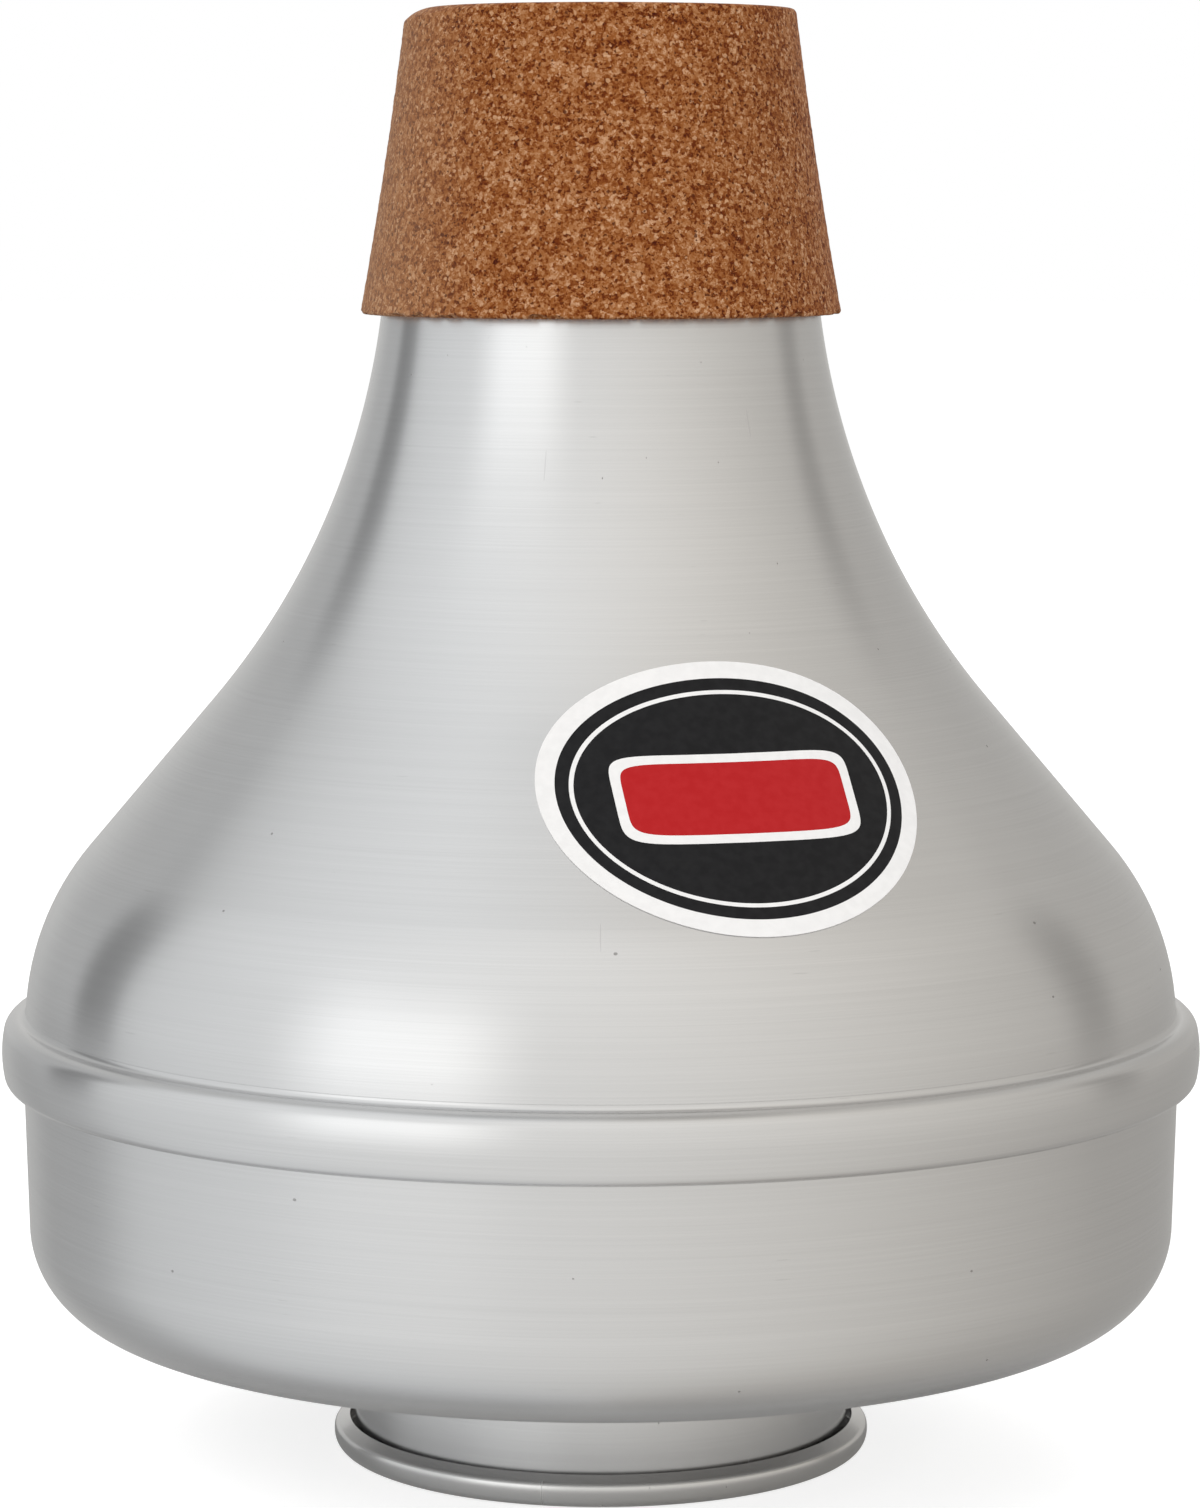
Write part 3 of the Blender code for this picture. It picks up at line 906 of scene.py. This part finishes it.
def on_bell(line, spot, lift):
    """Point above the bell's metal for a flat point of the label."""
    foot, normal = along_bell(line, LABEL_ABOVE_BAND + spot[1])
    point = foot + normal * lift
    angle = math.radians(-90.0) + LABEL_TURN + spot[0] / foot.x
    return (point.x * math.cos(angle), point.x * math.sin(angle), point.y)


def label_piece(looks):
    """Oval label: white edge, black field with a white line, and a red bar with a white border."""
    line = bell_line()
    rings = label_spots()
    under = [(spots, LABEL_LIFT, WHITE) for spots, paint in rings[::-1]]
    upper = [(spots, LABEL_THICKNESS, paint) for spots, paint in rings]
    shape = bmesh.new()
    loops = []
    for spots, lift, paint in under + upper:
        loops.append([shape.verts.new(on_bell(line, spot, lift)) for spot in spots])
    paints = [paint for spots, lift, paint in under + upper]
    for before, after, paint in zip(loops, loops[1:], paints[1:]):
        for k in range(LABEL_SPOKES):
            n = (k + 1) % LABEL_SPOKES
            shape.faces.new((before[k], before[n], after[n], after[k])).material_index = paint
    shape.faces.new(loops[0])
    shape.faces.new(loops[-1]).material_index = paints[-1]
    bmesh.ops.recalc_face_normals(shape, faces=shape.faces)
    mesh = bpy.data.meshes.new("label")
    shape.to_mesh(mesh)
    shape.free()
    piece = finish_piece("label", mesh, looks[WHITE], ["front_label"], "mute_body")
    for look in looks[1:]:
        piece.data.materials.append(look)


def build_object():
    """Makes every piece of the mute."""
    spun = spun_metal("spun_aluminium", tone=(0.72, 0.72, 0.72), roughness=0.24)
    bright = spun_metal("stem_aluminium", tone=(0.75, 0.745, 0.735), roughness=0.24)
    plain = spun_metal("sleeve_aluminium", tone=(0.66, 0.66, 0.66), roughness=0.36)
    cork = agglomerated_cork("agglomerated_cork", CORK_GRAIN)
    lining_cork = agglomerated_cork("lining_cork", LINING_GRAIN)
    turned = [
        ("bell_shell", upper_shell_outline(), spun, "upper_shell", "mute_body", "spun_aluminium"),
        ("pan_shell", lower_shell_outline(), spun, "lower_shell", "mute_body", "spun_aluminium"),
        ("neck_well", well_outline(), spun, "stem_well", "mute_body", "spun_aluminium"),
        ("tube_guide", sleeve_outline(), plain, "guide_sleeve", "mute_body", "sleeve_aluminium"),
        ("tube_lining", lining_outline(), lining_cork, "guide_lining", "mute_body", "cork"),
        ("slide_tube", tube_outline(), bright, "stem_tube", "stem", "stem_aluminium"),
        ("slide_cup", cup_outline(), bright, "stem_cup", "stem", "stem_aluminium"),
    ]
    for name, outline, look, node, body, slot in turned:
        finish_piece(name, turned_mesh(name, outline, SEGMENTS), look, [node], body)
    cork_mesh = turned_mesh("cork_seat", cork_outline(), CORK_SEGMENTS, cork_relief)
    finish_piece("cork_seat", cork_mesh, cork, ["cork_sleeve"], "mute_body")
    white = vinyl("label_white", (0.80, 0.79, 0.78))
    black = vinyl("label_black", (0.006, 0.006, 0.007))
    red = vinyl("label_red", (0.42, 0.010, 0.012))
    label_piece([white, black, red])


def light_path_mask(nodes, links):
    """1 where a camera, glossy or transmission ray looks, 0 elsewhere."""
    path = nodes.new("ShaderNodeLightPath")
    first = math_node(nodes, links, "MAXIMUM", path.outputs["Is Camera Ray"], path.outputs["Is Glossy Ray"])
    return math_node(nodes, links, "MAXIMUM", first, path.outputs["Is Transmission Ray"])


def white_light(nodes, strength):
    """White of a given strength from all round."""
    made = nodes.new("ShaderNodeBackground")
    made.inputs["Color"].default_value = (1.0, 1.0, 1.0, 1.0)
    made.inputs["Strength"].default_value = strength
    return made.outputs[0]


def build_world():
    """White where it is looked at, and an even soft light on what is not shiny."""
    world = bpy.data.worlds.new("studio")
    bpy.context.scene.world = world
    world.use_nodes = True
    nodes = world.node_tree.nodes
    links = world.node_tree.links
    nodes.clear()
    lit = white_light(nodes, WORLD_LIT)
    seen = white_light(nodes, WORLD_SEEN)
    out = nodes.new("ShaderNodeOutputWorld")
    links.new(mixed_shader(nodes, links, light_path_mask(nodes, links), lit, seen), out.inputs[0])


def seen_through(nodes, links):
    """Share of the floor that the metal looks through: beyond the mute, a little by the lip, in the cup."""
    reach = nodes.new("ShaderNodeVectorMath")
    reach.operation = "LENGTH"
    links.new(object_place(nodes), reach.inputs[0])
    distance = reach.outputs["Value"]
    beyond = faded(nodes, links, distance, MIRROR_NEAR, MIRROR_FAR)
    beside = faded(nodes, links, distance, BESIDE_FAR, BESIDE_NEAR)
    lift = math_node(nodes, links, "MULTIPLY", beside, BESIDE_SHARE)
    outside = math_node(nodes, links, "MAXIMUM", beyond, lift)
    in_cup = math_node(nodes, links, "LESS_THAN", distance, CUP_R - STEM_SHEET)
    return math_node(nodes, links, "MAXIMUM", outside, in_cup)


def floor_look():
    """White paint. The metal mirrors it near the mute, and looks through it elsewhere and from below."""
    look, nodes, links, shader = node_tree("floor_white")
    nodes.remove(shader)
    matt = nodes.new("ShaderNodeBsdfDiffuse")
    matt.inputs["Color"].default_value = (FLOOR_PAINT, FLOOR_PAINT, FLOOR_PAINT, 1.0)
    glow = nodes.new("ShaderNodeEmission")
    seen = light_path_mask(nodes, links)
    links.new(math_node(nodes, links, "MULTIPLY", seen, FLOOR_GLOW), glow.inputs["Strength"])
    white = nodes.new("ShaderNodeAddShader")
    links.new(matt.outputs[0], white.inputs[0])
    links.new(glow.outputs[0], white.inputs[1])
    clear = nodes.new("ShaderNodeBsdfTransparent").outputs[0]
    mirrored = mixed_shader(nodes, links, seen_through(nodes, links), matt.outputs[0], clear)
    glossy = nodes.new("ShaderNodeLightPath").outputs["Is Glossy Ray"]
    above = mixed_shader(nodes, links, glossy, white.outputs[0], mirrored)
    under = nodes.new("ShaderNodeNewGeometry").outputs["Backfacing"]
    links.new(mixed_shader(nodes, links, under, above, clear), nodes["Material Output"].inputs[0])
    return look


def build_floor():
    """Plain white floor that keeps the mute's shadow."""
    mesh = bpy.data.meshes.new("floor")
    sides = [(-1, -1), (1, -1), (1, 1), (-1, 1)]
    corners = [(x * FLOOR_HALF, y * FLOOR_HALF, -FLOOR_SINK) for x, y in sides]
    mesh.from_pydata(corners, [], [(0, 1, 2, 3)])
    mesh.materials.append(floor_look())
    floor = into_scene("floor", mesh)


def light_round(nodes, links, turn, middle, full, nothing, brightness):
    """Brightness that a light of the tent adds, or a flag takes, at a turn."""
    away = math_node(nodes, links, "SUBTRACT", turn, middle)
    facing = math_node(nodes, links, "COSINE", away)
    angle = math_node(nodes, links, "ARCCOSINE", facing)
    near = faded(nodes, links, angle, nothing, full)
    return math_node(nodes, links, "MULTIPLY", near, brightness)


def room_brightness(nodes, links, turn, level):
    """Brightness of the tent: the room, its bright side, and its lights and flags."""
    above_low = faded(nodes, links, level, *LOW_FADE)
    above_middle = faded(nodes, links, level, *HIGH_FADE)
    middle_only = math_node(nodes, links, "SUBTRACT", above_low, above_middle)
    side = math_node(nodes, links, "COSINE", math_node(nodes, links, "SUBTRACT", turn, BRIGHT_TURN))
    narrow = [light_round(nodes, links, turn, *light) for light in (KEY_LIGHT, LEFT_FLAG, RIGHT_FLAG)]
    lights = weighted(nodes, links, [(light, 1.0) for light in narrow])
    parts = [
        (above_low, ROOM_MIDDLE - ROOM_LOW),
        (above_middle, ROOM_HIGH - ROOM_MIDDLE),
        (side, BRIGHT_SIDE),
        (light_round(nodes, links, turn, *LEFT_SHADE), 1.0),
        (light_round(nodes, links, turn, *BACK_LIGHT), 1.0),
        (math_node(nodes, links, "MULTIPLY", lights, middle_only), 1.0),
    ]
    return math_node(nodes, links, "ADD", weighted(nodes, links, parts), ROOM_LOW)


def tent_look():
    """A soft round room that glows, with a few lights and flags, darker at its foot and top."""
    look, nodes, links, shader = node_tree("tent_panels")
    nodes.remove(shader)
    parts = separated(nodes, links, object_place(nodes))
    towards = math_node(nodes, links, "MULTIPLY", parts["Y"], -1.0)
    turn = math_node(nodes, links, "ARCTAN2", parts["X"], towards)
    level = math_node(nodes, links, "DIVIDE", parts["Z"], TENT_R)
    rightward = math_node(nodes, links, "MULTIPLY_ADD", math_node(nodes, links, "SINE", turn), 0.5, 0.5)
    tint = ramp(nodes, links, rightward, [(0.0, COOL), (1.0, WARM)])
    height = math_node(nodes, links, "MULTIPLY_ADD", level, 0.5, 0.5)
    ends = ramp(nodes, links, height, [(place, (strength,) * 3) for place, strength in TENT_ENDS])
    room = room_brightness(nodes, links, turn, level)
    glow = nodes.new("ShaderNodeEmission")
    links.new(tint, glow.inputs["Color"])
    links.new(math_node(nodes, links, "MULTIPLY", room, ends), glow.inputs["Strength"])
    links.new(glow.outputs[0], nodes["Material Output"].inputs[0])
    look.cycles.emission_sampling = "NONE"
    return look


def build_tent():
    """Light tent that the metal mirrors: a soft glowing room, seen by no camera."""
    mesh = bpy.data.meshes.new("light_tent")
    shape = bmesh.new()
    bmesh.ops.create_uvsphere(shape, u_segments=TENT_TURNS, v_segments=TENT_RINGS, radius=TENT_R)
    shape.to_mesh(mesh)
    shape.free()
    mesh.materials.append(tent_look())
    tent = into_scene("light_tent", mesh)
    tent.location = (0.0, 0.0, TENT_HEIGHT)
    tent.visible_camera = False
    tent.visible_diffuse = False
    tent.visible_shadow = False


def area_light(name, place, power, colour):
    """A square soft light aimed at the middle of the mute, which the metal doesn't mirror."""
    data = bpy.data.lights.new(name, "AREA")
    data.size = LAMP_SIZE
    data.energy = power
    data.color = colour
    light = into_scene(name, data)
    light.location = place
    light.rotation_mode = "QUATERNION"
    light.rotation_quaternion = (LAMP_AIM - Vector(place)).to_track_quat("-Z", "Y")
    light.visible_glossy = False


def build_lamps():
    """The studio's lamps."""
    for name, (place, power, colour) in LAMPS.items():
        area_light(name, place, power, colour)


def build_camera():
    """Camera at the photograph's view."""
    data = bpy.data.cameras.new("camera")
    data.lens = CAMERA_LENS
    camera = into_scene("camera", data)
    camera.location = CAMERA_PLACE
    camera.rotation_euler = (math.radians(90.0) - CAMERA_PITCH, 0.0, 0.0)
    bpy.context.scene.camera = camera


build_object()
build_world()
build_floor()
build_tent()
build_lamps()
build_camera()
bpy.context.scene.view_settings.view_transform = "Standard"
